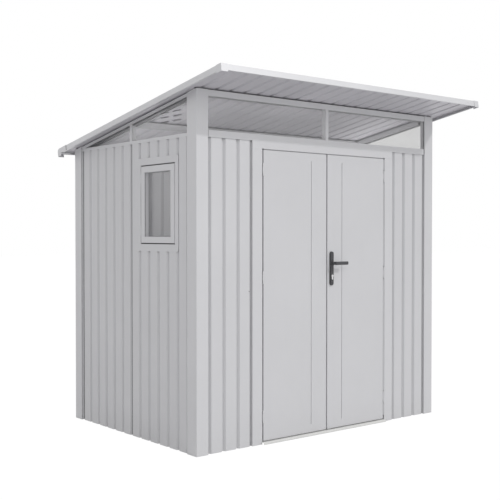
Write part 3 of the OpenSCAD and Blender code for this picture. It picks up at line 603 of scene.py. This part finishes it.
def gable_closers_and_shade():
    """Strips that close the gable rails from below, on both sides of the glazing bar, in a grey that paints
    the shade under the roof's side overhang.
    """
    rail_x = 26.3
    depth = 22
    wide, high = 28, 6
    half_bar = 16
    front_room, rear_room = 2, 112
    front_y = place_of("front_left_post")[1].y + front_room
    rear_y = place_of("rear_left_post")[0].y - rear_room
    bar_y = place_of("left_rear_panel")[0].y
    down = -(Z + Y * SLOPE).normalized()
    lines = []
    for x in (rail_x, SHED_W - rail_x):
        for y0, y1 in ((front_y, bar_y - half_bar), (bar_y + half_bar, rear_y)):
            start, end = (x, y0, rail_z(y0) - depth), (x, y1, rail_z(y1) - depth)
            lines.append((start, end, down, wide, high))
    strips("gable_closers_and_shade", lines, pale_seal, "shed")


def pane_ends():
    """Channels, and dark gaskets that also paint the shadow gap beside the posts, at the two ends of the
    front panes.
    """
    channel_y, gasket_y = 26, 11.2
    back_x = place_of("front_left_post")[1].x - FOLD_T
    low, high = place_of("front_panes")
    foot, top = low.z + 1, high.z - 4
    channels = []
    gaskets = []
    for x, out in ((back_x, X), (SHED_W - back_x, -X)):
        channels.append(upright(x, channel_y, foot, top, out, wide=24, high=FOLD_T))
        gaskets.append(upright(x, gasket_y, foot, top, out, wide=5, high=1.8))
    strips("pane_channels", channels, mats["frame_grey"], "shed")
    strips("pane_gaskets_and_shade", gaskets, seal_mat, "shed")


def panel_screw():
    """The one screw that shows on the sheet left of the doors."""
    screw_x, screw_z = 371, 882
    face_y = place_of("front_left_panel")[0].y
    bm = bmesh.new()
    add_screw(bm, at(screw_x, face_y, screw_z), -Y, r=3.4)
    piece("panel_screw", bm, screw_mat, "shed")


wall_seam_shade()
roof_foam_shade()
vent_screens()
window_glazing()
sash_gap_shade()
window_closers()
jamb_closer()
header_strip()
sweep("left")
sweep("right")
hinge_gap_shade()
rail_joint_shade()
cap_joints()
gable_closers_and_shade()
pane_ends()
panel_screw()


# Handle

plate_low, plate_high = place_of("handle_plate")
PLATE_X = (plate_low.x + plate_high.x) / 2
PLATE_FACE = plate_low.y
LEVER_Z = plate_low.z + 135
KEY_Z = plate_low.z + 58


def oblong(cx, cz, half_x, half_z, y, inset=0, corner=math.inf, steps=12):
    """Points of an oblong with round corners or ends, in a plane that faces the front."""
    a, b = half_x - inset, half_z - inset
    r = min(a, b, corner)
    points = []
    for k in range(4 * steps):
        t = 2 * math.pi * (k + 0.5) / (4 * steps)
        u = math.copysign(a - r, math.cos(t)) + r * math.cos(t)
        v = math.copysign(b - r, math.sin(t)) + r * math.sin(t)
        points.append(at(cx + u, y, cz + v))
    return points


def handle_plate():
    """Plate with a rounded rim and a sunk face, a collar round the lever and a screw at each end."""
    cz = (plate_low.z + plate_high.z) / 2
    half_x, half_z = (plate_high.x - plate_low.x) / 2, (plate_high.z - plate_low.z) / 2
    sunk = 0.7
    # Distance behind the face, and inset
    rim = ((12, 0), (3, 0), (1.4, 0.5), (0.4, 1.5), (0, 3), (0, 4.2), (sunk, 4.8), (sunk, 6))
    # Distance behind the face, and radius
    collar = ((1, 11.6), (-1.6, 11.6), (-2.6, 11), (-3, 10.2), (-3, 9.3), (1, 9.3))
    screw_in = 14
    bm = bmesh.new()
    add_rings(bm, [oblong(PLATE_X, cz, half_x, half_z, PLATE_FACE + back, inset) for back, inset in rim])
    rings = [oblong(PLATE_X, LEVER_Z, r, r, PLATE_FACE + back) for back, r in collar]
    add_rings(bm, rings, foot=False, head=False)
    for z in (plate_low.z + screw_in, plate_high.z - screw_in):
        add_screw(bm, at(PLATE_X, PLATE_FACE + sunk, z), -Y, r=3.6)
    plate = piece("handle_plate_dressed", bm, mats["handle_dark"], "right_door")
    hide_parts("handle_plate")


def lever():
    """Lever: a neck that swells towards the grip, and a grip with rounded edges."""
    low, high = place_of("lever")
    half_z = (high.z - low.z) / 2
    grip_x0 = PLATE_X - half_z
    grip_x, grip_half = (grip_x0 + high.x) / 2, (high.x - grip_x0) / 2
    inside_grip = PLATE_FACE - low.y - 9
    # Distance in front of the plate, half width, and how much taller than that its half height is
    neck = (
        (-4, 5, 0), (0.5, 5, 0), (0.5, 8.6, 0), (8, 8.6, 0.4), (14, 8, 1.6), (24, 7.8, 2.3), (30, 8, 2.3),
        (inside_grip, 8.4, 2),
    )
    # Distance behind the front of the grip, and inset
    grip = ((11, 3.4), (10.4, 1.4), (8.6, 0.3), (6, 0), (3.6, 0.4), (1.4, 1.8), (0.3, 4), (0, 6.5))
    bm = bmesh.new()
    add_rings(bm, [oblong(PLATE_X, LEVER_Z, r, r + tall, PLATE_FACE - ahead) for ahead, r, tall in neck])
    rings = []
    for back, inset in grip:
        rings.append(oblong(grip_x, LEVER_Z, grip_half, half_z, low.y + back, inset, corner=6))
    add_rings(bm, rings)
    dressed = piece("lever_dressed", bm, mats["handle_dark"], "lever")
    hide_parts("lever")


def keyhole(low, high, y, inset):
    """Outline of a key cylinder: a round barrel over a narrower body."""
    body_r = 4.25
    barrel_steps, body_steps = 24, 12
    r, w = (high.x - low.x) / 2 - inset, body_r - inset
    bend = math.asin(w / r)
    points = []
    for k in range(barrel_steps + 1):
        t = -math.pi / 2 + bend + (2 * math.pi - 2 * bend) * k / barrel_steps
        points.append(at(PLATE_X + r * math.cos(t), y, KEY_Z + r * math.sin(t)))
    for k in range(body_steps + 1):
        t = math.pi + math.pi * k / body_steps
        points.append(at(PLATE_X + w * math.cos(t), y, low.z + body_r + w * math.sin(t)))
    return points


def key_cylinder():
    """Key cylinder with a rounded edge, a raised plug, and a dark strip that paints the shade of the slot
    for the key.
    """
    low, high = place_of("key_cylinder")
    # Distance behind the back of the cylinder, and inset
    edge = ((0.8, 0), (-2.3, 0), (-2.8, 0.4), (-3, 0.9))
    # Distance behind the front of the cylinder, and radius
    plug = ((0.2, 5.8), (-0.3, 5.7), (-0.5, 5.4), (-0.5, 4.7), (-0.2, 4.5))
    slot_y = low.y - 0.15
    half_slot = 3.2
    bm = bmesh.new()
    add_rings(bm, [keyhole(low, high, high.y + back, inset) for back, inset in edge])
    add_rings(bm, [oblong(PLATE_X, KEY_Z, r, r, low.y + back) for back, r in plug], foot=False)
    dressed = piece("key_cylinder_dressed", bm, mats["key_steel"], "right_door")
    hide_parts("key_cylinder")
    # A dark strip paints the shade inside the slot for the key
    slot = upright(PLATE_X, slot_y, KEY_Z - half_slot, KEY_Z + half_slot, -Y, wide=1.4, high=0.3)
    strips("key_slot_shade", [slot], seal_mat, "right_door")


handle_plate()
lever()
key_cylinder()


# Stage, light and camera

WHITE = (1, 1, 1, 1)
SUN_TRAVEL = (-0.59, 1, -0.93)

# Soft lamps: one in front, whose light falls off to the right, and those inside, because the shed has
# no floor and its interior is nearly as light as the outside. Each has a name, power in watts, place
# in millimetres, aim, and width and height in metres.
SOFT_LAMPS = (
    ("soft_front", 9.5, (-450, -2500, 2800), (0.2, 1, -0.65), 1.2, 1.2),
    ("fill_floor", 4.2, (975, 690, 30), (0, 0, 1), 1.8, 1.2),
    ("fill_back", 2.2, (975, 120, 1000), (0, 1, 0), 1.7, 1),
    ("fill_high", 1.1, (975, 60, 1750), (0, 1, 0.05), 1.6, 0.1),
    ("fill_rear", 0.8, (975, 770, 1560), (0, 1, 0.3), 1.6, 0.1),
    ("fill_left", 0.8, (110, 560, 1620), (0.7, 0, 1), 0.85, 0.08),
    ("fill_right", 0.9, (1870, 460, 1650), (-0.5, 0, 1), 0.7, 0.08),
    ("fill_bar", 0.25, (640, 45, 1800), (1, -0.03, -0.15), 0.02, 0.1),
    ("fill_gable", 0.1, (60, 330, 1800), (-0.05, 1, 0.05), 0.05, 0.1),
)


def make_floor():
    """A wide pale floor that looks white but keeps a trace of the shadow."""
    glow_share = 0.96
    bm = bmesh.new()
    bmesh.ops.create_grid(bm, x_segments=2, y_segments=2, size=40)
    mesh = bpy.data.meshes.new("floor")
    bm.to_mesh(mesh)
    bm.free()
    obj = bpy.data.objects.new("floor", mesh)
    obj.location.z = -0.001
    scene.collection.objects.link(obj)
    m = material("floor")
    patches = m.noise(scale=3, detail=3, rough=0.5)
    pale = m.ramp(patches, (0.3, shade(WHITE, 0.78)), (0.7, shade(WHITE, 0.81)))
    matt = m.add("ShaderNodeBsdfDiffuse", {"Color": pale})
    glow = m.add("ShaderNodeEmission", {"Color": WHITE, "Strength": 1.03})
    mesh.materials.append(m.finish(m.blend(m.math("MULTIPLY", m.shown(), glow_share), matt, glow)))


def make_world():
    """A soft sky that lights the shed, and white where the background shows."""
    w = Nodes(bpy.data.worlds.new("studio"), "ShaderNodeOutputWorld")
    sky = w.add("ShaderNodeBackground", {"Color": (0.988, 0.986, 1, 1), "Strength": 0.715})
    white = w.add("ShaderNodeBackground", {"Color": WHITE, "Strength": 1})
    scene.world = w.finish(w.blend(w.shown(), sky, white))


def aimed(name, data, aim):
    """An object that looks along aim, for a lamp."""
    obj = bpy.data.objects.new(name, data)
    obj.rotation_euler = Vector(aim).to_track_quat("-Z", "Y").to_euler()
    scene.collection.objects.link(obj)
    return obj


def make_lamps():
    """The sun, and the soft lamps, which show neither straight nor in a reflection."""
    sun = bpy.data.lights.new("key", "SUN")
    sun.energy = 0.92
    sun.angle = math.radians(1.6)
    aimed("key", sun, SUN_TRAVEL)
    for name, power, place, aim, wide, high in SOFT_LAMPS:
        lamp = bpy.data.lights.new(name, "AREA")
        lamp.energy = power
        lamp.shape = "RECTANGLE"
        lamp.size = wide
        lamp.size_y = high
        obj = aimed(name, lamp, aim)
        obj.location = at(*place)
        obj.visible_camera = False
        obj.visible_glossy = False
        obj.visible_transmission = False


def make_camera():
    """The camera of the photograph, fitted to the corners of the shed."""
    camera = bpy.data.cameras.new("camera")
    camera.sensor_width = 36
    camera.lens = 64.78
    camera.clip_end = 200
    obj = bpy.data.objects.new("camera", camera)
    obj.location = at(-2823.4, -3942.0, 1206.8)
    obj.rotation_euler = (math.radians(88.977), 0, math.radians(-39.016))
    scene.collection.objects.link(obj)
    scene.camera = obj


make_floor()
make_world()
make_lamps()
make_camera()
scene.view_settings.view_transform = "Standard"
